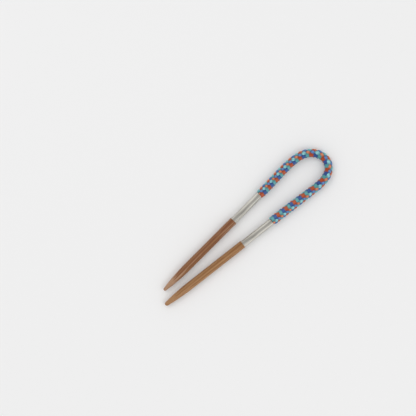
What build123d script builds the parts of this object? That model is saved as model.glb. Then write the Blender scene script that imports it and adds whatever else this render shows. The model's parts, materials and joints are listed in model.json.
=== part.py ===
from build123d import *
import math
import os

# A loop stitch marker, lying flat: two turned wooden points, each glued into a thin metal
# ferrule, with the ends of one springy braided cord glued into the ferrules' other ends.
# Millimetres. The origin is under the middle of the two arms, on the surface they lie on.
# +X runs along the marker towards the loop, and +Y points to the left arm.

# Wooden points
point_length = 33.7
shank_radius = 1.36
taper_length = 11.3
taper_knee_share = 0.7
taper_knee_thinning_share = 0.49
tip_radii = {"left": 0.55, "right": 0.72}
shoulder_chamfer = 0.1
tenon_length = 5.0
tenon_chamfer = 0.25

# Ferrules
ferrule_length = 12.55
ferrule_radius = 1.205
ferrule_wall = 0.2
ferrule_edge_chamfer = 0.06

# Braided cord
cord_radius = 1.525
cord_end_length = 5.5
mouth_round = 0.28

# Glue film between a ferrule's bore and what is in it
glue_film = 0.02

# Two radii are the same if they differ by less than this share
same_size_share = 1e-6

# How the two arms lie
mouth_x = 23.05
mouth_half_gap = 4.79
stagger = 2.96
arm_angle = 3.43

# The cord's route above the surface, from the left ferrule's mouth round to the right one's.
# The first and last runs lie on the arms' axes, and the points between them are chosen by hand.
left_exit_run = 4.05
right_exit_run = 4.85
loop_points = [
    (33.2, 5.5),
    (38.2, 6.15),
    (42.6, 6.05),
    (46.0, 4.85),
    (48.6, 2.3),
    (49.8, -1.1),
    (48.4, -4.3),
    (45.4, -6.05),
    (41.5, -6.55),
    (36.7, -6.05),
    (31.7, -5.65),
]
bend_fill_share = 0.45

# The two runs of the route at whose middles the cord bends as the arms open
left_bend_run = 4
right_bend_run = 9

bore_radius = ferrule_radius - ferrule_wall
glued_radius = bore_radius - glue_film

# The cord is thicker than the points, so each arm slopes down from its mouth until its shank
# lies on the surface, just where the taper starts.
support_run = ferrule_length + point_length - taper_length
arm_slope = math.asin(cord_radius / math.hypot(support_run, shank_radius)) - math.atan2(
    shank_radius, support_run
)


def arm_direction(side):
    """The way an arm points, from its tip to its mouth."""
    turn = math.radians(arm_angle) * side
    level = math.cos(arm_slope)
    return Vector(level * math.cos(turn), level * math.sin(turn), math.sin(arm_slope))


sides = {"left": 1, "right": -1}
mouths = {
    name: Vector(mouth_x + side * stagger / 2, side * mouth_half_gap, cord_radius)
    for name, side in sides.items()
}
directions = {name: arm_direction(side) for name, side in sides.items()}
arm_axes = {name: Axis(mouths[name], directions[name]) for name in sides}

# Each arm's profile plane holds its axis, as local X, and local Y points away from the axis
profile_planes = {
    name: Plane(
        origin=mouths[name],
        x_dir=directions[name],
        z_dir=directions[name].cross(Vector(0, 0, 1)),
    )
    for name in sides
}
mouth_planes = {name: Plane(origin=mouths[name], z_dir=directions[name]) for name in sides}

os.makedirs("parts", exist_ok=True)


def rims_of_radius(rims, radius):
    """Those of the round edges that have this radius."""
    return rims.filter_by(lambda rim: math.isclose(rim.radius, radius, rel_tol=same_size_share))


def save(piece, label):
    """Name a finished piece and write it."""
    piece.part.label = label
    export_step(piece.part, f"parts/{label}.step")


# Wooden points: a straight shank, a long taper that curves in from it ever faster, in two arcs
# that meet at its knee, a rounded tip, and a thinner tenon that fills the ferrule's bore.
for name in sides:
    shoulder_x = -ferrule_length
    taper_x = shoulder_x - point_length + taper_length
    tip_x = shoulder_x - point_length
    tip_radius = tip_radii[name]
    knee_x = taper_x - taper_knee_share * taper_length
    knee_radius = shank_radius - taper_knee_thinning_share * (shank_radius - tip_radius)
    with BuildPart() as point:
        with BuildSketch(profile_planes[name]):
            with BuildLine():
                Polyline(
                    (tip_x, 0),
                    (shoulder_x + tenon_length, 0),
                    (shoulder_x + tenon_length, glued_radius),
                    (shoulder_x, glued_radius),
                    (shoulder_x, shank_radius),
                    (taper_x, shank_radius),
                )
                upper = TangentArc((taper_x, shank_radius), (knee_x, knee_radius), tangent=(-1, 0))
                lower = TangentArc(upper @ 1, (tip_x + tip_radius, tip_radius), tangent=upper % 1)
                RadiusArc(lower @ 1, (tip_x, 0), -tip_radius)
            make_face()
        revolve(axis=arm_axes[name])
        rims = point.edges().filter_by(GeomType.CIRCLE).sort_by(arm_axes[name])
        chamfer(rims[-1], tenon_chamfer)
        chamfer(rims_of_radius(rims, shank_radius)[-1], shoulder_chamfer)
    save(point, f"{name}_point")

# Ferrules: plain tubes with broken edges. The point's shoulder closes one end, and the cord
# swells out of the other.
for name in sides:
    with BuildPart() as ferrule:
        with BuildSketch(profile_planes[name]):
            with Locations((-ferrule_length / 2, bore_radius + ferrule_wall / 2)):
                Rectangle(ferrule_length, ferrule_wall)
        revolve(axis=arm_axes[name])
        rims = ferrule.edges().filter_by(GeomType.CIRCLE)
        chamfer(rims_of_radius(rims, ferrule_radius), ferrule_edge_chamfer)
    save(ferrule, f"{name}_ferrule")

# The cord's route, and the radius of the arc in each of its corners
route = [
    mouths["left"],
    mouths["left"] + directions["left"] * left_exit_run,
    *[Vector(x, y, cord_radius) for x, y in loop_points],
    mouths["right"] + directions["right"] * right_exit_run,
    mouths["right"],
]
runs = [end - start for start, end in zip(route, route[1:])]
corner_radii = [
    bend_fill_share
    * min(before.length, after.length)
    / math.tan(math.radians(before.get_angle(after)) / 2)
    for before, after in zip(runs, runs[1:])
]
bend_points = {
    "left": (route[left_bend_run] + route[left_bend_run + 1]) / 2,
    "right": (route[right_bend_run] + route[right_bend_run + 1]) / 2,
}

# The cord in three spans, cut square across at the two places where it bends
spans = {
    "left": (
        [*route[: left_bend_run + 1], bend_points["left"]],
        corner_radii[:left_bend_run],
    ),
    "loop": (
        [
            bend_points["left"],
            *route[left_bend_run + 1 : right_bend_run + 1],
            bend_points["right"],
        ],
        corner_radii[left_bend_run:right_bend_run],
    ),
    "right": (
        [bend_points["right"], *route[right_bend_run + 1 :]],
        corner_radii[right_bend_run:],
    ),
}

section_area = math.pi * cord_radius**2
free_length = 0
for name, (points, radii) in spans.items():
    with BuildLine() as path:
        FilletPolyline(*points, radius=radii)
    line = path.wires()[0]
    free_length += line.length

    # The end in a ferrule is squeezed down to the bore, and the cord swells round at the mouth.
    with BuildPart() as cord:
        with BuildSketch(Plane(origin=line @ 0, z_dir=line % 0)):
            Circle(cord_radius)
        sweep(path=line)
        swept = cord.part.volume
        if name in sides:
            rims = cord.edges().filter_by(GeomType.CIRCLE).sort_by_distance(mouths[name])
            fillet(rims_of_radius(rims, cord_radius)[0], mouth_round)
            with BuildSketch(mouth_planes[name]):
                Circle(glued_radius)
            extrude(amount=-cord_end_length)
    save(cord, f"{name}_cord")
    ratio = swept / (section_area * line.length)
    print(f"{name} span: {line.length:.2f} mm long, volume / (section x length) {ratio:.4f}")

print("corner radii", [round(radius, 1) for radius in corner_radii])
print(f"free cord {free_length:.2f} mm, arms slope {math.degrees(arm_slope):.3f} degrees")
for name, place in bend_points.items():
    print(f"{name} bend at {place.X:.3f}, {place.Y:.3f}, {place.Z:.3f}")
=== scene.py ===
"""A loop stitch marker, dressed for its studio picture.

Two waxed wooden points sit in two drawn metal ferrules, which a loop of satin braid joins.
Everything is in metres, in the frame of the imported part.
"""

import json
import math

import bmesh
import bpy
import numpy as np
from bpy.props import (
    FloatProperty,
    IntProperty,
    PointerProperty,
    StringProperty,
)
from mathutils import Matrix, Vector


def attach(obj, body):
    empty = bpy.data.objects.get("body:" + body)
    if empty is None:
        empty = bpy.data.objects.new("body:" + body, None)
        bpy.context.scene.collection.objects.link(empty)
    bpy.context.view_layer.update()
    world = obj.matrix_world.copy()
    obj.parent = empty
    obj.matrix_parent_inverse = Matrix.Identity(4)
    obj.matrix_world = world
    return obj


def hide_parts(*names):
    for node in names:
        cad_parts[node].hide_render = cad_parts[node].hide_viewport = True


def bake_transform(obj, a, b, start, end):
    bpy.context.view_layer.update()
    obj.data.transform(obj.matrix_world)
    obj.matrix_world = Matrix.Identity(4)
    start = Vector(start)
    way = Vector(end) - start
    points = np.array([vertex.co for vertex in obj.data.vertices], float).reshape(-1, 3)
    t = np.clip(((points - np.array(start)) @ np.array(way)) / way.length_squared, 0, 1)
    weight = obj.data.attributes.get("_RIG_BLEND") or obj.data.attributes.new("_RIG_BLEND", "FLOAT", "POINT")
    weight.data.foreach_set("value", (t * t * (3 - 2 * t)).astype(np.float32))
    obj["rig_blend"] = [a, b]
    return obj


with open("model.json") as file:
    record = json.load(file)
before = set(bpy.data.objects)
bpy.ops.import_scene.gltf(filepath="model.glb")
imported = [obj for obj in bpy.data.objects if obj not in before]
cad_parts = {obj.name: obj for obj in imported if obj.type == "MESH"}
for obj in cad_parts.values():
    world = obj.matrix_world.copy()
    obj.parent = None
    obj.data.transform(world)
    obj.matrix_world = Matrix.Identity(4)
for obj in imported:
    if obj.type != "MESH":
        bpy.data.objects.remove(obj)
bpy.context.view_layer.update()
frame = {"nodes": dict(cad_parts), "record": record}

bl_info = {
    "name": "Loop Stitch Marker",
    "version": (1, 0, 0),
    "blender": (4, 5, 0),
    "location": "View3D > Sidebar > Stitch Marker",
    "description": "Dresses a loop stitch marker: wooden points, ferrules and a braided cord",
    "category": "Object",
}

MM = 0.001
UP = Vector((0, 0, 1))
SIDES = ("left", "right")
MATH = "ShaderNodeMath"
VECTOR = "ShaderNodeVectorMath"
MAP_RANGE = "ShaderNodeMapRange"
# A colour mix node's sockets by place, because their names repeat
MIX_SHARE, MIX_FROM, MIX_TO, MIX_RESULT = 0, 6, 7, 2

# The cord's route from the left ferrule's mouth to the right one's, in metres. Its first and
# last runs lie on the arms' axes, and it lies on the surface.
EXIT_RUNS = {"left": 0.00405, "right": 0.00485}
LOOP_POINTS = [
    (0.0332, 0.0055),
    (0.0382, 0.00592),
    (0.0426, 0.00583),
    (0.0460, 0.00485),
    (0.0487, 0.0024),
    (0.0498, -0.0011),
    (0.0484, -0.0043),
    (0.0454, -0.00595),
    (0.0415, -0.00626),
    (0.0367, -0.00583),
    (0.0317, -0.0055),
]
CORD_RADIUS = 0.001525
# The floats stand proud of that radius, so the free cord's middle is a little higher
FLOAT_LIFT = 0.00009
GLUED_LENGTH = 0.0055
GLUED_RADIUS = 0.000985

# How far the braid's broad rows of floats have turned round the cord, in degrees from the top
# towards the loop's inside, at shares of its free length
TWIST = ((0.0, 33), (0.2, 43), (0.42, 43), (0.75, 29), (1.0, 26))

# How far the braid's outer side has slid along the cord as it was bent, in millimetres at the
# same shares. Less than zero is back towards the left mouth.
SLIDE = (
    (0.0, 0.0),
    (0.05, 0.17),
    (0.12, 0.1),
    (0.19, -0.06),
    (0.33, -0.26),
    (0.53, -0.44),
    (0.67, -0.28),
    (0.9, -0.2),
    (1.0, 0.0),
)

# How many turns the braid lags behind an even stretch round the crown, at the same shares
LAG = (
    (0.0, 0.0),
    (0.3, 0.0),
    (0.39, 0.026),
    (0.46, 0.077),
    (0.53, 0.098),
    (0.6, 0.042),
    (0.67, 0.03),
    (0.75, 0.012),
    (0.88, 0.008),
    (1.0, -0.07),
)

# Three strands go round one way and three the other way, one of each colour. Those that go
# the other way are the ones whose index is above SECOND_WAY.
STRANDS_EACH_WAY = 3
SECOND_WAY = STRANDS_EACH_WAY - 0.5

# How broad each strand lies, as no hand pulls all six alike: orange, blue and turquoise of the
# hand with the broad floats, then of the other
STRAND_WIDTHS = (1.1, 1.04, 0.88, 0.66, 0.72, 0.92)

# Where each half of the cord starts to bend as the arms open, and how far the line from there
# to the crown leans inwards
BEND_STARTS = {
    "left": Vector((0.0350, 0.0060, CORD_RADIUS)),
    "right": Vector((0.0340, -0.0062, CORD_RADIUS)),
}
BEND_LEAN = math.radians(40)

# Rings of points along a wooden point's taper and its straight shank
TAPER_STEPS = 24
SHANK_STEPS = 8


def read_arm(side):
    """An arm's axis, and where its pieces start and end on it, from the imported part."""
    mount = next(m for m in frame["record"]["mounts"] if m["name"] == f"{side}_shank")
    middle, direction = Vector(mount["pos_m"]), -Vector(mount["axis"]).normalized()
    reach = {}
    for piece in ("ferrule", "point"):
        places = [v.co - middle for v in frame["nodes"][f"{side}_{piece}"].data.vertices]
        runs = [place.dot(direction) for place in places]
        radius = max((place - direction * run).length for place, run in zip(places, runs))
        reach[piece] = (min(runs), max(runs), radius)
    shoulder, mouth, ferrule_radius = reach["ferrule"]
    tip, tenon_end, shank_radius = reach["point"]
    across = UP.cross(direction).normalized()
    return {
        "mouth": middle + direction * mouth,
        "direction": direction,
        "turn": Matrix((direction, across, direction.cross(across))).transposed(),
        "ferrule_length": mouth - shoulder,
        "ferrule_radius": ferrule_radius,
        "point_length": shoulder - tip,
        "tenon_length": tenon_end - shoulder,
        "shank_radius": shank_radius,
    }


ARMS = {side: read_arm(side) for side in SIDES}


def hex_colour(text):
    """An sRGB colour such as "#c8c4bc" as linear red, green, blue and alpha."""
    parts = [int(text[i : i + 2], 16) / 255 for i in (1, 3, 5)]
    return (*[p / 12.92 if p <= 0.04045 else ((p + 0.055) / 1.055) ** 2.4 for p in parts], 1.0)


def add_node(tree, kind, inputs=(), **settings):
    """Add a node, its sockets set by place or by name to a value or another node's output."""
    node = tree.nodes.new(kind)
    for name, value in settings.items():
        setattr(node, name, value)
    for socket, value in inputs.items() if isinstance(inputs, dict) else enumerate(inputs):
        if isinstance(value, bpy.types.Node):
            value = value.outputs[0]
        if isinstance(value, bpy.types.NodeSocket):
            tree.links.new(value, node.inputs[socket])
        else:
            node.inputs[socket].default_value = value
    return node


def new_material(name):
    """An empty material with its surface shader, and the tree to build in."""
    material = bpy.data.materials.new(name)
    material.use_nodes = True
    tree = material.node_tree
    tree.nodes.clear()
    shader = add_node(tree, "ShaderNodeBsdfPrincipled")
    add_node(tree, "ShaderNodeOutputMaterial", {"Surface": shader})
    return material, tree, shader


def arm_coordinates(tree, side):
    """A place on an arm, in millimetres from its mouth: along the axis, across and up."""
    where = add_node(tree, "ShaderNodeTexCoord").outputs["Object"]
    arm = ARMS[side]
    return add_node(
        tree,
        "ShaderNodeMapping",
        {
            "Vector": where,
            "Location": arm["mouth"],
            "Rotation": arm["turn"].to_euler(),
            "Scale": (MM, MM, MM),
        },
        vector_type="TEXTURE",
    )


# Materials


def streaks(tree, place, lengths, detail=2.0):
    """Noise drawn out along an arm, with its lengths in millimetres along, across and up."""
    shares = tuple(1 / length for length in lengths)
    stretched = add_node(tree, VECTOR, (place, shares), operation="MULTIPLY")
    return add_node(
        tree, "ShaderNodeTexNoise", {"Vector": stretched, "Scale": 1.0, "Detail": detail}
    )


def wood_material(side, settings):
    """Waxed hardwood dowel, turned and sanded: long grain, small dark pores, a soft gloss."""
    light, dark, heart = (
        hex_colour(getattr(settings, f"{side}_{part}")) for part in ("light", "dark", "heart")
    )
    material, tree, shader = new_material(f"Waxed hardwood dowel {side}")
    place = arm_coordinates(tree, side)
    # Growth layers under a millimetre apart run nearly along the dowel
    layers = streaks(tree, place, (24, 0.7, 1.1), detail=4.0)
    layers = add_node(tree, MAP_RANGE, {"Value": layers, "From Min": 0.36, "From Max": 0.64})
    grain = add_node(
        tree,
        "ShaderNodeMix",
        {MIX_SHARE: layers, MIX_FROM: dark, MIX_TO: light},
        data_type="RGBA",
    ).outputs[MIX_RESULT]
    # The wood is paler inside, so the taper cuts into it, in flames up to 1.3 mm deep
    section = add_node(tree, VECTOR, (place, (0, 1, 1)), operation="MULTIPLY")
    depth = add_node(tree, VECTOR, (section,), operation="LENGTH").outputs[1]
    flames = streaks(tree, place, (9, 0.6, 0.6))
    depth = add_node(tree, MATH, (flames, -1.3, depth), operation="MULTIPLY_ADD")
    inside = add_node(
        tree,
        MAP_RANGE,
        {"Value": depth, "From Min": 0.43, "From Max": 0.66, "To Min": 1.0, "To Max": 0.0},
        interpolation_type="SMOOTHSTEP",
    )
    grain = add_node(
        tree,
        "ShaderNodeMix",
        {MIX_SHARE: inside, MIX_FROM: grain, MIX_TO: heart},
        data_type="RGBA",
    ).outputs[MIX_RESULT]
    # Pores, 2.5 mm long and drawn 0.12 mm wide, about three times their real width, to show
    pores = streaks(tree, place, (2.5, 0.12, 0.12))
    pores = add_node(tree, MAP_RANGE, {"Value": pores, "From Min": 0.54, "From Max": 0.7})
    darkening = add_node(tree, MATH, (pores, settings.pore_strength), operation="MULTIPLY")
    flecked = add_node(
        tree,
        "ShaderNodeMix",
        {MIX_SHARE: darkening, MIX_FROM: grain, MIX_TO: hex_colour(settings.pore_colour)},
        data_type="RGBA",
    ).outputs[MIX_RESULT]
    tree.links.new(flecked, shader.inputs["Base Color"])
    shader.inputs["Roughness"].default_value = 0.5
    shader.inputs["IOR"].default_value = 1.5
    shader.inputs["Specular IOR Level"].default_value = 0.3
    bump = add_node(
        tree,
        "ShaderNodeBump",
        {"Height": pores, "Strength": 0.5, "Distance": 0.02 * MM},
        invert=True,
    )
    tree.links.new(bump.outputs[0], shader.inputs["Normal"])
    return material


def metal_material(side, settings):
    """Drawn aluminium tube, as it comes: fine lines along it and a satin, warmish gloss."""
    material, tree, shader = new_material(f"Drawn aluminium tube {side}")
    place = arm_coordinates(tree, side)
    # The die's lines, drawn 0.1 mm apart, coarser than real, so that they show
    lines = streaks(tree, place, (9, 0.1, 0.1), detail=1.0)
    # Broader smears of duller metal, half a millimetre apart
    smears = streaks(tree, place, (7, 0.55, 0.55))
    tone = add_node(tree, MAP_RANGE, {"Value": smears, "From Min": 0.3, "From Max": 0.7})
    shade, shine = hex_colour(settings.shade), hex_colour(settings.shine)
    colour = add_node(
        tree,
        "ShaderNodeMix",
        {MIX_SHARE: tone, MIX_FROM: shade, MIX_TO: shine},
        data_type="RGBA",
    ).outputs[MIX_RESULT]
    tree.links.new(colour, shader.inputs["Base Color"])
    shader.inputs["Metallic"].default_value = 1.0
    # The dull skin of the metal loses the light at its sides
    shader.inputs["Specular Tint"].default_value = (0.6, 0.6, 0.6, 1.0)
    gloss = add_node(
        tree,
        MAP_RANGE,
        {"Value": lines, "From Min": 0.3, "From Max": 0.7, "To Min": 0.3, "To Max": 0.44},
    )
    tree.links.new(gloss.outputs[0], shader.inputs["Roughness"])
    bump = add_node(
        tree, "ShaderNodeBump", {"Height": lines, "Strength": 0.35, "Distance": 0.01 * MM}
    )
    tree.links.new(bump.outputs[0], shader.inputs["Normal"])
    return material


def yarn_material(name, colour, shine):
    """Satin yarn of many glossy filaments, laid flat, its colour painted with shade where floats dive and
    with sheen where they rise, on the narrow strands and on the cord's outer side.
    """
    material, tree, shader = new_material(f"Satin yarn {name}")
    strand = add_node(tree, "ShaderNodeAttribute", attribute_name="strand").outputs["Vector"]
    # Filaments follow the strand: 2 mm long runs, drawn 26 round each strand, so that they show
    drawn_out = add_node(tree, VECTOR, (strand, (1 / 2, 26, 1)), operation="MULTIPLY")
    filaments = add_node(
        tree, "ShaderNodeTexNoise", {"Vector": drawn_out, "Scale": 1.0, "Detail": 2.0}
    )
    tone = add_node(
        tree,
        MAP_RANGE,
        {"Value": filaments, "From Min": 0.3, "From Max": 0.7, "To Min": 0.68, "To Max": 1.24},
    )
    # Painted shade darkens the yarn where a float dives under, and painted sheen mixes it paler where the
    # float is highest
    crest = add_node(tree, "ShaderNodeAttribute", attribute_name="crest").outputs["Fac"]
    light = add_node(
        tree,
        MAP_RANGE,
        {"Value": crest, "From Min": -0.4, "From Max": 0.9, "To Min": 0.6, "To Max": 1.12},
    )
    tone = add_node(tree, MATH, (tone, light), operation="MULTIPLY")
    painted_sheen = {"Value": crest, "From Min": 0.35, "From Max": 1.0, "To Max": 0.28}
    painted_sheen = add_node(tree, MAP_RANGE, painted_sheen)
    # Painted sheen all over the three narrow strands, which mixes them paler as if their filaments caught
    # more light
    narrow = add_node(tree, "ShaderNodeSeparateXYZ", (strand,)).outputs["Z"]
    narrow = add_node(tree, MATH, (narrow, SECOND_WAY), operation="GREATER_THAN")
    painted_sheen = add_node(tree, MATH, (narrow, 0.6, painted_sheen), operation="MULTIPLY_ADD")
    # Painted sheen on the cord's outer side too, and painted shade on the crown's inner side, where less
    # sheen is mixed in
    pale = add_node(tree, "ShaderNodeAttribute", attribute_name="pale").outputs["Fac"]
    painted_sheen = add_node(tree, MATH, (painted_sheen, pale), operation="ADD", use_clamp=True)
    # The dye mixed towards its paler colour by the painted sheen, then scaled by the filaments' tone and the
    # painted shade
    dye_and_sheen = add_node(
        tree,
        "ShaderNodeMix",
        {MIX_SHARE: painted_sheen, MIX_FROM: hex_colour(colour), MIX_TO: hex_colour(shine)},
        data_type="RGBA",
    ).outputs[MIX_RESULT]
    dye_with_painted_light = add_node(tree, VECTOR, {0: dye_and_sheen, "Scale": tone}, operation="SCALE")
    tree.links.new(dye_with_painted_light.outputs[0], shader.inputs["Base Color"])
    shader.inputs["Roughness"].default_value = 0.5
    shader.inputs["Specular IOR Level"].default_value = 0.35
    shader.inputs["Sheen Weight"].default_value = 0.06
    shader.inputs["Sheen Roughness"].default_value = 0.4
    bump = add_node(
        tree, "ShaderNodeBump", {"Height": filaments, "Strength": 0.8, "Distance": 0.04 * MM}
    )
    tree.links.new(bump.outputs[0], shader.inputs["Normal"])
    return material


# Shapes


def lathe(name, side, outline, steps, closed):
    """A turned piece on an arm's axis. outline holds (along, radius) pairs, tip first."""
    arm = ARMS[side]
    bm = bmesh.new()
    rings = []
    for run, radius in outline:
        turns = [2 * math.pi * step / steps for step in range(steps if radius else 1)]
        places = [Vector((run, radius * math.cos(t), radius * math.sin(t))) for t in turns]
        rings.append([bm.verts.new(arm["mouth"] + arm["turn"] @ place) for place in places])
    pairs = list(zip(rings, rings[1:]))
    if closed:
        pairs.append((rings[-1], rings[0]))
    for one, two in pairs:
        for step in range(steps):
            after = (step + 1) % steps
            corners = [one[step % len(one)], one[after % len(one)]]
            corners += [two[after % len(two)], two[step % len(two)]]
            bm.faces.new(list(dict.fromkeys(corners)))
    bmesh.ops.recalc_face_normals(bm, faces=bm.faces)
    mesh = bpy.data.meshes.new(name)
    bm.to_mesh(mesh)
    bm.free()
    mesh.shade_smooth()
    piece = bpy.data.objects.new(name, mesh)
    bpy.context.collection.objects.link(piece)
    return piece


def keep_edges(piece, angle=math.radians(35)):
    """Shade the piece smooth but for its real corners."""
    chosen = {"object": piece, "active_object": piece, "selected_editable_objects": [piece]}
    with bpy.context.temp_override(**chosen):
        bpy.ops.object.shade_smooth_by_angle(angle=angle)


def arc(centre, radius, start, end, steps):
    """Points along a circle's arc, from one angle to another."""
    angles = [start + (end - start) * step / steps for step in range(steps + 1)]
    x, y = centre
    return [(x + radius * math.cos(angle), y + radius * math.sin(angle)) for angle in angles]


def point_outline(arm, tip_radius, taper_length, rounded):
    """A wooden point's profile on its arm's axis, from its tip to its tenon's end."""
    shoulder = -arm["ferrule_length"]
    tip = shoulder - arm["point_length"]
    taper_x = tip + taper_length
    shank = arm["shank_radius"]
    # The round tip, from beside the axis to where the taper takes over
    outline = [(tip, 0.0)]
    centre = (tip + tip_radius, 0)
    outline += arc(centre, tip_radius, math.radians(165), math.radians(98), steps=9)
    # The taper, which curves in from the shank ever faster
    start, thinnest = outline[-1]
    for step in range(1, TAPER_STEPS):
        share = step / TAPER_STEPS
        run = start + (taper_x - start) * share
        outline.append((run, shank - (shank - thinnest) * (1 - share) ** 2))
    # The straight shank, its sanded edge at the ferrule, and the tenon
    edge = shoulder - rounded
    for step in range(SHANK_STEPS):
        outline.append((taper_x + (edge - taper_x) * step / SHANK_STEPS, shank))
    outline += arc((edge, shank - rounded), rounded, math.pi / 2, 0, steps=4)
    tenon_end = shoulder + arm["tenon_length"]
    outline += [(shoulder, GLUED_RADIUS), (tenon_end, GLUED_RADIUS), (tenon_end, 0.0)]
    return outline


class PointSettings(bpy.types.PropertyGroup):
    taper_length: FloatProperty(
        name="Taper length",
        description="From the shank's end to the tip",
        default=0.0113,
        min=0.002,
        unit="LENGTH",
    )
    left_tip_radius: FloatProperty(
        name="Left tip", description="Radius of the left tip", default=0.00055, unit="LENGTH"
    )
    right_tip_radius: FloatProperty(
        name="Right tip", description="Radius of the right tip", default=0.00072, unit="LENGTH"
    )
    shoulder_round: FloatProperty(
        name="Shoulder",
        description="Sanded edge at the ferrule",
        default=0.00012,
        unit="LENGTH",
    )
    left_light: StringProperty(name="Left wood", description="Light grain", default="#916641")
    left_dark: StringProperty(name="Left grain", description="Dark grain", default="#76462c")
    left_heart: StringProperty(name="Left heart", description="Inner wood", default="#aa866a")
    right_light: StringProperty(name="Right wood", description="Light grain", default="#a87f56")
    right_dark: StringProperty(name="Right grain", description="Dark grain", default="#855931")
    right_heart: StringProperty(name="Right heart", description="Inner wood", default="#a57c56")
    pore_colour: StringProperty(
        name="Pores", description="Colour of the pores", default="#5a3420"
    )
    pore_strength: FloatProperty(
        name="Pore strength",
        description="How dark the pores are",
        default=0.5,
        min=0,
        max=1,
        subtype="FACTOR",
    )


class STITCHMARKER_OT_add_points(bpy.types.Operator):
    """Turn the two wooden points, from their tenons in the ferrules to their tips"""

    bl_idname = "stitch_marker.add_points"
    bl_label = "Add Wooden Points"

    def execute(self, context):
        settings = context.scene.marker_points
        for side in SIDES:
            tip_radius = getattr(settings, f"{side}_tip_radius")
            outline = point_outline(
                ARMS[side], tip_radius, settings.taper_length, settings.shoulder_round
            )
            piece = lathe(f"{side}_wooden_point", side, outline, steps=96, closed=False)
            piece.data.materials.append(wood_material(side, settings))
            keep_edges(piece)
            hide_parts(f"{side}_point")
            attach(piece, f"{side}_arm")
        return {"FINISHED"}


class FerruleSettings(bpy.types.PropertyGroup):
    wall: FloatProperty(
        name="Wall", description="Thickness of the tube", default=0.0002, unit="LENGTH"
    )
    edge_round: FloatProperty(
        name="Edge", description="Broken edge of the tube", default=0.00006, unit="LENGTH"
    )
    shine: StringProperty(name="Shine", description="Bright metal", default="#dfdcd3")
    shade: StringProperty(name="Shade", description="Dull metal", default="#b0ada5")


class STITCHMARKER_OT_add_ferrules(bpy.types.Operator):
    """Draw the two metal tubes that join the points to the cord"""

    bl_idname = "stitch_marker.add_ferrules"
    bl_label = "Add Ferrules"

    def execute(self, context):
        settings = context.scene.marker_ferrules
        for side in SIDES:
            arm = ARMS[side]
            outer = arm["ferrule_radius"]
            inner = outer - settings.wall
            rounded = settings.edge_round
            back = -arm["ferrule_length"]
            outline = [(back, inner)]
            for centre_x, start in ((back + rounded, math.pi), (-rounded, math.pi / 2)):
                centre = (centre_x, outer - rounded)
                outline += arc(centre, rounded, start, start - math.pi / 2, steps=5)
            outline += [(0.0, inner)]
            piece = lathe(f"{side}_metal_ferrule", side, outline, steps=128, closed=True)
            piece.data.materials.append(metal_material(side, settings))
            keep_edges(piece)
            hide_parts(f"{side}_ferrule")
            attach(piece, f"{side}_arm")
        return {"FINISHED"}


class BraidSettings(bpy.types.PropertyGroup):
    lay: FloatProperty(
        name="Lay",
        description="Length in which a strand goes once round the cord",
        default=0.00352,
        unit="LENGTH",
    )
    crown_start: FloatProperty(
        name="Crown start",
        description="Where the braid starts to stretch, from the left mouth",
        default=0.0123,
        unit="LENGTH",
    )
    crown_end: FloatProperty(
        name="Crown end",
        description="Where the braid is at rest again, from the left mouth",
        default=0.0499,
        unit="LENGTH",
    )
    crown_stretch: FloatProperty(
        name="Crown stretch",
        description="Turns that the stretched braid round the crown lacks",
        default=1.76,
    )
    first_float: FloatProperty(
        name="First float",
        description="Where the first orange strand lies uppermost, from the left mouth",
        default=0.000675,
        unit="LENGTH",
    )
    crown_thinning: FloatProperty(
        name="Crown thinning",
        description="Share by which the stretched braid is thinner",
        default=0.09,
        subtype="FACTOR",
    )
    middle_radius: FloatProperty(
        name="Middle radius",
        description="Mean radius of the strands",
        default=0.00106,
        unit="LENGTH",
    )
    lift: FloatProperty(
        name="Lift",
        description="How far a strand rises and dips as it passes over and under",
        default=0.00021,
        unit="LENGTH",
    )
    slow: FloatProperty(
        name="Slow",
        description="How far one hand's floats lean along the cord and the other's across it",
        default=0.19,
        subtype="FACTOR",
    )
    half_width: FloatProperty(
        name="Half width",
        description="Half a broad float's width",
        default=0.00064,
        unit="LENGTH",
    )
    half_height: FloatProperty(
        name="Half height",
        description="Half a strand's thickness",
        default=0.00034,
        unit="LENGTH",
    )
    mouth_swell: FloatProperty(
        name="Mouth swell",
        description="Length in which the cord swells out of a ferrule",
        default=0.0004,
        unit="LENGTH",
    )
    wander: FloatProperty(
        name="Wander", description="How unevenly the strands lie, in turns", default=0.03
    )
    step: FloatProperty(
        name="Step",
        description="Distance between a strand's rings",
        default=0.00006,
        unit="LENGTH",
    )
    sides: IntProperty(name="Sides", description="Points round a strand", default=14, min=6)
    orange: StringProperty(name="Orange", description="First yarn", default="#9e3d17")
    blue: StringProperty(name="Blue", description="Second yarn", default="#254684")
    teal: StringProperty(name="Turquoise", description="Third yarn", default="#4c9094")
    # The paler colours that the painted sheen mixes each yarn towards
    orange_shine: StringProperty(
        name="Orange shine", description="First yarn in the light", default="#cc8060"
    )
    blue_shine: StringProperty(
        name="Blue shine", description="Second yarn in the light", default="#6088ba"
    )
    teal_shine: StringProperty(
        name="Turquoise shine", description="Third yarn in the light", default="#8cc6cc"
    )


# The braid's settings that its tree takes as numbers, each under its own name
BRAID_INPUTS = (
    "Lay",
    "Crown start",
    "Crown end",
    "Crown stretch",
    "First float",
    "Crown thinning",
    "Middle radius",
    "Lift",
    "Slow",
    "Half width",
    "Half height",
    "Mouth swell",
    "Wander",
    "Step",
)


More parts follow.
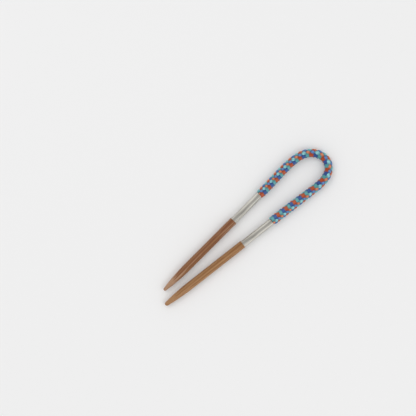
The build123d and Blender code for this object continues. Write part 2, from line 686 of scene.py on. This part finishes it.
def route_mesh():
    """The cord's middle line as a chain of points, read from one smooth spline."""
    left, right = ARMS["left"], ARMS["right"]
    control = [left["mouth"] - left["direction"] * GLUED_LENGTH, left["mouth"]]
    control += [left["mouth"] + left["direction"] * EXIT_RUNS["left"]]
    control += [Vector((x, y, CORD_RADIUS + FLOAT_LIFT)) for x, y in LOOP_POINTS]
    control += [right["mouth"] + right["direction"] * EXIT_RUNS["right"], right["mouth"]]
    control += [right["mouth"] - right["direction"] * GLUED_LENGTH]
    curve = bpy.data.curves.new("Cord route", "CURVE")
    curve.dimensions = "3D"
    curve.resolution_u = 48
    spline = curve.splines.new("NURBS")
    spline.points.add(len(control) - 1)
    for point, place in zip(spline.points, control):
        point.co = (*place, 1.0)
    spline.order_u = 3
    spline.use_endpoint_u = True
    holder = bpy.data.objects.new("Cord route", curve)
    bpy.context.collection.objects.link(holder)
    mesh = bpy.data.meshes.new_from_object(holder)
    bpy.data.objects.remove(holder)
    return mesh


def new_tree(name, inputs):
    """A geometry tree with these named inputs, each given as its socket's type and a value."""
    tree = bpy.data.node_groups.new(name, "GeometryNodeTree")
    tree.is_modifier = True
    tree.interface.new_socket("Geometry", in_out="INPUT", socket_type="NodeSocketGeometry")
    tree.interface.new_socket("Geometry", in_out="OUTPUT", socket_type="NodeSocketGeometry")
    for label, (kind, _) in inputs.items():
        tree.interface.new_socket(label, in_out="INPUT", socket_type=kind)
    return tree, add_node(tree, "NodeGroupInput").outputs


def follow(tree, share, rows):
    """A value that changes smoothly along the cord as these rows of (share, value) say."""
    low = min(value for _, value in rows)
    span = max(value for _, value in rows) - low
    curve = add_node(tree, "ShaderNodeFloatCurve", {"Value": share})
    curve.mapping.extend = "HORIZONTAL"
    points = curve.mapping.curves[0].points
    while len(points) < len(rows):
        points.new(0.5, 0.5)
    for point, (place, value) in zip(points, rows):
        point.location = (place, (value - low) / span)
    curve.mapping.update()
    return add_node(tree, MATH, (curve, span, low), operation="MULTIPLY_ADD")


def lay_strands(tree, given):
    """The strands' middle lines, and the fields that are captured on them."""
    line = add_node(tree, "GeometryNodeMeshToCurve", {"Mesh": given["Geometry"]})
    line = add_node(
        tree,
        "GeometryNodeResampleCurve",
        {"Curve": line, "Length": given["Step"]},
        mode="LENGTH",
    )
    copies = add_node(
        tree,
        "GeometryNodeDuplicateElements",
        {"Geometry": line, "Amount": 2 * STRANDS_EACH_WAY},
        domain="SPLINE",
    )
    index = copies.outputs["Duplicate Index"]
    length = add_node(tree, "GeometryNodeSplineParameter").outputs["Length"]
    run = add_node(tree, MATH, (length, given["Glued length"]), operation="SUBTRACT")
    from_far_end = add_node(tree, MATH, (given["Free length"], run), operation="SUBTRACT")
    from_mouth = add_node(tree, MATH, (run, from_far_end), operation="MINIMUM")
    swell = add_node(
        tree,
        MAP_RANGE,
        {
            "Value": from_mouth,
            "From Min": 0.0,
            "From Max": given["Mouth swell"],
            "To Min": GLUED_RADIUS / CORD_RADIUS,
            "To Max": 1.0,
        },
        interpolation_type="SMOOTHSTEP",
    )
    # Round the crown the braid is stretched and thinner, most of all half way, where this is 1
    crown = {"Value": run, "From Min": given["Crown start"], "From Max": given["Crown end"]}
    share = add_node(tree, MAP_RANGE, crown)
    rest = add_node(tree, MATH, (1.0, share), operation="SUBTRACT")
    stretch = add_node(tree, MATH, (share, rest), operation="MULTIPLY")
    stretch = add_node(tree, MATH, (stretch, 4.0), operation="MULTIPLY")
    thinning = add_node(tree, MATH, (stretch, given["Crown thinning"]), operation="MULTIPLY")
    girth = add_node(tree, MATH, (swell, thinning), operation="SUBTRACT")
    # Turns of the braid at each place, from the first orange float on
    lost = add_node(
        tree,
        MAP_RANGE,
        {**crown, "To Min": 0.0, "To Max": given["Crown stretch"]},
        interpolation_type="SMOOTHSTEP",
    )
    laid = add_node(tree, MATH, (run, given["First float"]), operation="SUBTRACT")
    laid = add_node(tree, MATH, (laid, given["Lay"]), operation="DIVIDE")
    laid = add_node(tree, MATH, (laid, lost), operation="SUBTRACT")
    free_share = add_node(tree, MATH, (run, given["Free length"]), operation="DIVIDE")
    laid = add_node(tree, MATH, (laid, follow(tree, free_share, LAG)), operation="SUBTRACT")
    colour = add_node(tree, MATH, (index, STRANDS_EACH_WAY), operation="MODULO")
    against = add_node(tree, MATH, (index, SECOND_WAY), operation="GREATER_THAN")
    way = add_node(tree, MATH, (against, 2.0, -1.0), operation="MULTIPLY_ADD")
    turns = add_node(
        tree, MATH, (colour, -1 / STRANDS_EACH_WAY, laid), operation="MULTIPLY_ADD"
    )
    # Small unevenness, 350 waves a metre, and different on every strand
    spread = add_node(tree, MATH, (index, 17.0), operation="MULTIPLY")
    wave_place = add_node(tree, MATH, (run, 350.0, spread), operation="MULTIPLY_ADD")
    noise = add_node(
        tree, "ShaderNodeTexNoise", {"W": wave_place, "Scale": 1.0}, noise_dimensions="1D"
    )
    noise = add_node(tree, MATH, (noise, 0.5), operation="SUBTRACT")
    turns = add_node(tree, MATH, (noise, given["Wander"], turns), operation="MULTIPLY_ADD")
    way_round = add_node(tree, MATH, (way, 2 * math.pi), operation="MULTIPLY")
    phase = add_node(tree, MATH, (turns, way_round), operation="MULTIPLY")
    # A strand is uppermost three times a turn, and the two hands' floats lie 60 degrees apart
    crossing = add_node(
        tree, MATH, (against, -math.pi / STRANDS_EACH_WAY, phase), operation="MULTIPLY_ADD"
    )
    crossing = add_node(tree, MATH, (crossing, STRANDS_EACH_WAY), operation="MULTIPLY")
    lean = add_node(tree, MATH, (crossing,), operation="SINE")
    lean = add_node(tree, MATH, (lean, given["Slow"]), operation="MULTIPLY")
    lean = add_node(tree, MATH, (lean, way), operation="MULTIPLY")
    column = follow(tree, free_share, TWIST)
    angle = add_node(tree, MATH, (column, math.radians(1), phase), operation="MULTIPLY_ADD")
    angle = add_node(tree, MATH, (angle, lean), operation="SUBTRACT")
    crest = add_node(tree, MATH, (crossing,), operation="COSINE")
    rise = add_node(
        tree, MATH, (crest, given["Lift"], given["Middle radius"]), operation="MULTIPLY_ADD"
    )
    rise = add_node(tree, MATH, (rise, girth), operation="MULTIPLY")
    # Broad floats lie across the cord, narrow ones along it, and stretched ones a fifth broader
    width = add_node(tree, "GeometryNodeIndexSwitch", {"Index": index}, data_type="FLOAT")
    for _ in STRAND_WIDTHS[2:]:
        width.index_switch_items.new()
    for place, share_of_width in enumerate(STRAND_WIDTHS):
        width.inputs[place + 1].default_value = share_of_width
    width = add_node(tree, MATH, (width, given["Half width"]), operation="MULTIPLY")
    spread_out = add_node(tree, MATH, (stretch, 0.2, 1.0), operation="MULTIPLY_ADD")
    width = add_node(tree, MATH, (width, spread_out), operation="MULTIPLY")
    width = add_node(tree, MATH, (width, swell), operation="MULTIPLY")
    # The way out of the cord at a strand, from the line's own inward and upward ways
    tangent = add_node(tree, "GeometryNodeInputTangent")
    inward = add_node(tree, VECTOR, (tangent, tuple(UP)), operation="CROSS_PRODUCT")
    inward = add_node(tree, VECTOR, (inward,), operation="NORMALIZE")
    upward = add_node(tree, VECTOR, (inward, tangent), operation="CROSS_PRODUCT")
    sine = add_node(tree, MATH, (angle,), operation="SINE")
    cosine = add_node(tree, MATH, (angle,), operation="COSINE")
    aside = add_node(tree, VECTOR, {0: inward, "Scale": sine}, operation="SCALE")
    above = add_node(tree, VECTOR, {0: upward, "Scale": cosine}, operation="SCALE")
    outward = add_node(tree, VECTOR, (aside, above), operation="ADD")
    offset = add_node(tree, VECTOR, {0: outward, "Scale": rise}, operation="SCALE")
    # The inner row of floats stays, and the rows further out slide the more
    slid = add_node(tree, MATH, (follow(tree, free_share, SLIDE), MM), operation="MULTIPLY")
    outside = add_node(tree, MATH, (0.5, sine), operation="SUBTRACT")
    slid = add_node(tree, MATH, (slid, outside), operation="MULTIPLY")
    slid = add_node(tree, VECTOR, {0: tangent, "Scale": slid}, operation="SCALE")
    offset = add_node(tree, VECTOR, (offset, slid), operation="ADD")
    # How much painted sheen the yarn gets by its side of the cord: a painted highlight on the outer side,
    # and painted shade, with less sheen, on the crown's inner side
    stretched = {"Value": outside, "From Min": 1.05, "From Max": 1.5, "To Max": 0.5}
    stretched = add_node(tree, MAP_RANGE, stretched)
    painted_inner_shade = {"Value": outside, "From Min": 0.7, "From Max": 0.1, "To Max": -0.3}
    painted_inner_shade = add_node(tree, MAP_RANGE, painted_inner_shade)
    painted_inner_shade = add_node(tree, MATH, (painted_inner_shade, stretch), operation="MULTIPLY")
    pale = add_node(tree, MATH, (painted_inner_shade, stretch, stretched), operation="MULTIPLY_ADD")
    kept = add_node(tree, "GeometryNodeCaptureAttribute", {"Geometry": copies})
    for kind, label, field in (
        ("VECTOR", "Outward", outward),
        ("FLOAT", "Width", width),
        ("FLOAT", "Girth", girth),
        ("FLOAT", "Crest", crest),
        ("FLOAT", "Pale", pale),
        ("FLOAT", "Run", run),
        ("FLOAT", "Index", index),
        ("FLOAT", "Colour", colour),
        ("VECTOR", "Offset", offset),
    ):
        kept.capture_items.new(kind, label)
        source = field.outputs[0] if isinstance(field, bpy.types.Node) else field
        tree.links.new(source, kept.inputs[label])
    kept = kept.outputs
    strands = add_node(
        tree, "GeometryNodeSetPosition", {"Geometry": kept[0], "Offset": kept["Offset"]}
    )
    return strands, kept


def skin_strands(tree, given, strands, kept):
    """An oval skin round each strand's middle line, with the attributes that others read."""
    # The places on a strand's middle line, and the way across it
    tangent = add_node(tree, "GeometryNodeInputTangent")
    sideways = add_node(tree, VECTOR, (tangent, kept["Outward"]), operation="CROSS_PRODUCT")
    sideways = add_node(tree, VECTOR, (sideways,), operation="NORMALIZE")
    lines = add_node(tree, "GeometryNodeCaptureAttribute", {"Geometry": strands})
    for kind, label, source in (
        ("VECTOR", "Centre", add_node(tree, "GeometryNodeInputPosition").outputs[0]),
        ("VECTOR", "Sideways", sideways.outputs[0]),
        ("FLOAT", "Length", add_node(tree, "GeometryNodeSplineParameter").outputs["Length"]),
    ):
        lines.capture_items.new(kind, label)
        tree.links.new(source, lines.inputs[label])
    lines = lines.outputs
    ring = add_node(
        tree,
        "GeometryNodeCurvePrimitiveCircle",
        {"Resolution": given["Sides"], "Radius": given["Half height"]},
    )
    around = add_node(tree, "GeometryNodeCaptureAttribute", {"Geometry": ring})
    around.capture_items.new("FLOAT", "Around")
    tree.links.new(
        add_node(tree, "GeometryNodeSplineParameter").outputs["Factor"], around.inputs["Around"]
    )
    around = around.outputs
    skin = add_node(
        tree,
        "GeometryNodeCurveToMesh",
        {"Curve": lines[0], "Profile Curve": around[0], "Fill Caps": True},
    )
    # An oval section, which starts and ends at the strand's hidden underside
    turn = add_node(
        tree, MATH, (around["Around"], 2 * math.pi, -math.pi / 2), operation="MULTIPLY_ADD"
    )
    wide = add_node(tree, MATH, (turn,), operation="COSINE")
    wide = add_node(tree, MATH, (wide, kept["Width"]), operation="MULTIPLY")
    high = add_node(tree, MATH, (turn,), operation="SINE")
    high = add_node(tree, MATH, (high, given["Half height"]), operation="MULTIPLY")
    high = add_node(tree, MATH, (high, kept["Girth"]), operation="MULTIPLY")
    aside = add_node(tree, VECTOR, {0: lines["Sideways"], "Scale": wide}, operation="SCALE")
    above = add_node(tree, VECTOR, {0: kept["Outward"], "Scale": high}, operation="SCALE")
    place = add_node(tree, VECTOR, (lines["Centre"], aside), operation="ADD")
    place = add_node(tree, VECTOR, (place, above), operation="ADD")
    skin = add_node(tree, "GeometryNodeSetPosition", {"Geometry": skin, "Position": place})
    # What the yarn's material and the cut at the crown read
    length = add_node(tree, MATH, (lines["Length"], 1 / MM), operation="MULTIPLY")
    strand = add_node(
        tree, "ShaderNodeCombineXYZ", {"X": length, "Y": around["Around"], "Z": kept["Index"]}
    )
    skin = add_node(
        tree,
        "GeometryNodeStoreNamedAttribute",
        {"Geometry": skin, "Name": "strand", "Value": strand},
        data_type="FLOAT_VECTOR",
    )
    for label in ("Run", "Crest", "Pale"):
        skin = add_node(
            tree,
            "GeometryNodeStoreNamedAttribute",
            {"Geometry": skin, "Name": label.lower(), "Value": kept[label]},
        )
    return skin


def braid_tree(inputs):
    """Six strands round a line, three each way, every one passing over and under in turn."""
    tree, given = new_tree("Round braid", inputs)
    strands, kept = lay_strands(tree, given)
    skin = skin_strands(tree, given, strands, kept)
    skin = add_node(tree, "GeometryNodeRealizeInstances", {"Geometry": skin})
    for place_in_order, label in enumerate(("Orange yarn", "Blue yarn", "Turquoise yarn")):
        chosen = add_node(
            tree,
            "FunctionNodeCompare",
            {"A": kept["Colour"], "B": float(place_in_order), "Epsilon": 0.1},
            operation="EQUAL",
        )
        skin = add_node(
            tree,
            "GeometryNodeSetMaterial",
            {"Geometry": skin, "Selection": chosen, "Material": given[label]},
        )
    add_node(tree, "NodeGroupOutput", {"Geometry": skin})
    return tree


def grow(mesh, tree, inputs, name):
    """Run a geometry tree on a mesh and keep what it makes as a plain mesh."""
    holder = bpy.data.objects.new(name, mesh)
    bpy.context.collection.objects.link(holder)
    modifier = holder.modifiers.new(name, "NODES")
    modifier.node_group = tree
    for socket in tree.interface.items_tree:
        if socket.in_out == "INPUT" and socket.name in inputs:
            modifier[socket.identifier] = inputs[socket.name][1]
    evaluated = holder.evaluated_get(bpy.context.evaluated_depsgraph_get())
    made = bpy.data.meshes.new_from_object(evaluated)
    bpy.data.objects.remove(holder)
    return made


def half_of(mesh, seam, keep_start, name):
    """The strands on one side of the seam, closed where they were cut."""
    bm = bmesh.new()
    bm.from_mesh(mesh)
    run = bm.verts.layers.float["run"]
    beyond = []
    for face in bm.faces:
        middle = sum(vert[run] for vert in face.verts) / len(face.verts)
        if (middle < seam) != keep_start:
            beyond.append(face)
    bmesh.ops.delete(bm, geom=beyond, context="FACES")
    rims = [edge for edge in bm.edges if edge.is_boundary]
    bmesh.ops.holes_fill(bm, edges=rims, sides=0)
    bmesh.ops.recalc_face_normals(bm, faces=bm.faces)
    half = bpy.data.meshes.new(name)
    bm.to_mesh(half)
    bm.free()
    for material in mesh.materials:
        half.materials.append(material)
    half.shade_smooth()
    piece = bpy.data.objects.new(name, half)
    bpy.context.collection.objects.link(piece)
    return piece


def ring_nearest(mesh, run):
    """The strands' ring of points that is nearest to this place along the cord."""
    rings = np.zeros(len(mesh.vertices), np.float32)
    mesh.attributes["run"].data.foreach_get("value", rings)
    rings = np.unique(np.round(rings, 8))
    return float(rings[np.abs(rings - run).argmin()])


def bend_of(piece, side, seam, reach):
    """Where a half's bend starts on its leg, and where it ends, just short of the seam."""
    inward = -1 if side == "left" else 1
    toward_crown = Vector((math.cos(BEND_LEAN), inward * math.sin(BEND_LEAN), 0))
    start = BEND_STARTS[side]
    runs = piece.data.attributes["run"].data
    near = [abs(run.value - seam) < reach for run in runs]
    rim = [vert.co for vert, is_near in zip(piece.data.vertices, near) if is_near]
    length = min((place - start).dot(toward_crown) for place in rim)
    return start, start + toward_crown * length


class STITCHMARKER_OT_add_cord(bpy.types.Operator):
    """Braid the springy cord along its route, in two halves that meet at the loop's crown"""

    bl_idname = "stitch_marker.add_cord"
    bl_label = "Add Braided Cord"

    def execute(self, context):
        settings = context.scene.marker_braid
        route = route_mesh()
        places = [v.co.copy() for v in route.vertices]
        lengths = [0.0]
        for one, two in zip(places, places[1:]):
            lengths.append(lengths[-1] + (two - one).length)
        whole = lengths[-1]
        inputs = {
            "Glued length": ("NodeSocketFloat", GLUED_LENGTH),
            "Free length": ("NodeSocketFloat", whole - 2 * GLUED_LENGTH),
            "Sides": ("NodeSocketInt", settings.sides),
        }
        for label in BRAID_INPUTS:
            value = getattr(settings, label.lower().replace(" ", "_"))
            inputs[label] = ("NodeSocketFloat", value)
        for label, dye_and_sheen in (("Orange", "orange"), ("Blue", "blue"), ("Turquoise", "teal")):
            colours = getattr(settings, dye_and_sheen), getattr(settings, f"{dye_and_sheen}_shine")
            yarn = yarn_material(label.lower(), *colours)
            inputs[f"{label} yarn"] = ("NodeSocketMaterial", yarn)
        braid = grow(route, braid_tree(inputs), inputs, "Braid")
        if not braid.polygons:
            raise RuntimeError("the braid came out empty")
        # The seam is at the ring of points nearest the crown, where the loop reaches furthest
        crown = max(range(len(places)), key=lambda i: places[i].x)
        seam = ring_nearest(braid, lengths[crown] - GLUED_LENGTH)
        for side in SIDES:
            first = side == "left"
            piece = half_of(braid, seam, first, f"{side}_cord_half")
            path = [
                place
                for place, length in zip(places, lengths)
                if (length - GLUED_LENGTH <= seam) == first
            ]
            bodies = [f"{side}_arm", "loop_top"]
            ends = list(bend_of(piece, side, seam, settings.step / 2))
            # Each path starts at its mouth, but the right half's bend starts at the crown
            if not first:
                path.reverse()
                bodies.reverse()
                ends.reverse()
            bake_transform(piece, *bodies, start=ends[0], end=ends[1])
            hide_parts(f"{side}_cord", "loop_cord")
        return {"FINISHED"}


class StageSettings(bpy.types.PropertyGroup):
    backdrop: StringProperty(name="Backdrop", description="Paper colour", default="#efefef")
    picture_width: FloatProperty(
        name="Picture width",
        description="Width of the surface that the camera sees",
        default=0.1423,
        unit="LENGTH",
    )
    lens: FloatProperty(
        name="Lens", description="Focal length in millimetres", default=150.0, unit="CAMERA"
    )
    turn: FloatProperty(
        name="Turn",
        description="How far the camera is turned about the vertical",
        default=math.radians(-41.57),
        subtype="ANGLE",
    )
    sky_strength: FloatProperty(
        name="Sky", description="Even light from all round", default=0.82, min=0
    )
    key_power: FloatProperty(
        name="Key light", description="Power of the key light", default=0.8, unit="POWER"
    )


class STITCHMARKER_OT_set_stage(bpy.types.Operator):
    """Lay the paper, hang the soft lights and set the camera straight above"""

    bl_idname = "stitch_marker.set_stage"
    bl_label = "Set Stage"

    def execute(self, context):
        settings = context.scene.marker_stage
        scene = context.scene
        # Matt white paper: an even, pale surface that keeps the marker's soft shadow
        material, tree, shader = new_material("Matt white paper")
        shader.inputs["Base Color"].default_value = hex_colour(settings.backdrop)
        shader.inputs["Roughness"].default_value = 0.9
        shader.inputs["Specular IOR Level"].default_value = 0.1
        half = 1.5
        mesh = bpy.data.meshes.new("Paper")
        mesh.from_pydata(
            [(-half, -half, 0), (half, -half, 0), (half, half, 0), (-half, half, 0)],
            [],
            [(0, 1, 2, 3)],
        )
        mesh.materials.append(material)
        paper = bpy.data.objects.new("Paper", mesh)
        scene.collection.objects.link(paper)
        world = bpy.data.worlds.new("Studio")
        world.use_nodes = True
        world.node_tree.nodes.clear()
        tree = world.node_tree
        rays = add_node(tree, "ShaderNodeLightPath").outputs
        seen = rays["Is Camera Ray"]
        for other in ("Is Glossy Ray", "Is Transmission Ray"):
            seen = add_node(tree, MATH, (seen, rays[other]), operation="MAXIMUM")
        # The white walls of a light tent, open at the top, for the camera and the gloss
        way = add_node(tree, "ShaderNodeTexCoord").outputs["Generated"]
        height = add_node(tree, "ShaderNodeSeparateXYZ", (way,))
        tent = add_node(
            tree,
            MAP_RANGE,
            {
                "Value": height.outputs["Z"],
                "From Min": 0.4,
                "From Max": 0.95,
                "To Min": 1.08,
                "To Max": 0.48,
            },
            interpolation_type="SMOOTHSTEP",
        )
        strength = {"Value": seen, "To Min": settings.sky_strength, "To Max": tent}
        strength = add_node(tree, MAP_RANGE, strength)
        sky = add_node(
            tree, "ShaderNodeBackground", {"Color": (1, 1, 1, 1), "Strength": strength}
        )
        add_node(tree, "ShaderNodeOutputWorld", {"Surface": sky})
        scene.world = world
        # The point at the middle of the picture
        middle = Vector((0.00835, 0.01311, CORD_RADIUS))
        for name, place, size, power in (
            ("Key light", Vector((-0.05, 0.45, 0.60)), 0.45, settings.key_power),
            ("Fill light", Vector((0.10, -0.50, 0.55)), 0.45, settings.key_power * 0.8),
        ):
            lamp = bpy.data.lights.new(name, "AREA")
            lamp.shape = "DISK"
            lamp.size = size
            lamp.energy = power
            holder = bpy.data.objects.new(name, lamp)
            scene.collection.objects.link(holder)
            holder.location = place
            holder.rotation_euler = (middle - place).to_track_quat("-Z", "Y").to_euler()
            # The metal mirrors the tent's walls, not the lamps behind them
            holder.visible_glossy = False
        lens = bpy.data.cameras.new("Camera")
        lens.lens = settings.lens
        lens.clip_start, lens.clip_end = 0.01, 10
        camera = bpy.data.objects.new("Camera", lens)
        scene.collection.objects.link(camera)
        height = settings.picture_width * settings.lens / lens.sensor_width
        camera.location = middle + UP * height
        camera.rotation_euler = (0, 0, settings.turn)
        scene.camera = camera
        scene.view_settings.view_transform = "Standard"
        return {"FINISHED"}


class STITCHMARKER_PT_panel(bpy.types.Panel):
    """The stitch marker's pieces, each with its sizes and colours"""

    bl_label = "Stitch Marker"
    bl_idname = "STITCHMARKER_PT_panel"
    bl_space_type = "VIEW_3D"
    bl_region_type = "UI"
    bl_category = "Stitch Marker"

    def draw(self, context):
        for group, operator, _ in GROUPS:
            box = self.layout.box()
            box.operator(operator.bl_idname)
            settings = getattr(context.scene, group)
            for name in settings.__annotations__:
                box.prop(settings, name)


GROUPS = (
    ("marker_points", STITCHMARKER_OT_add_points, PointSettings),
    ("marker_ferrules", STITCHMARKER_OT_add_ferrules, FerruleSettings),
    ("marker_braid", STITCHMARKER_OT_add_cord, BraidSettings),
    ("marker_stage", STITCHMARKER_OT_set_stage, StageSettings),
)


def register():
    for group, operator, settings in GROUPS:
        bpy.utils.register_class(settings)
        bpy.utils.register_class(operator)
        setattr(bpy.types.Scene, group, PointerProperty(type=settings))
    bpy.utils.register_class(STITCHMARKER_PT_panel)


def unregister():
    bpy.utils.unregister_class(STITCHMARKER_PT_panel)
    for group, operator, settings in reversed(GROUPS):
        delattr(bpy.types.Scene, group)
        bpy.utils.unregister_class(operator)
        bpy.utils.unregister_class(settings)


def main():
    register()
    bpy.ops.stitch_marker.set_stage()
    bpy.ops.stitch_marker.add_cord()
    bpy.ops.stitch_marker.add_ferrules()
    bpy.ops.stitch_marker.add_points()


if __name__ == "__main__":
    main()
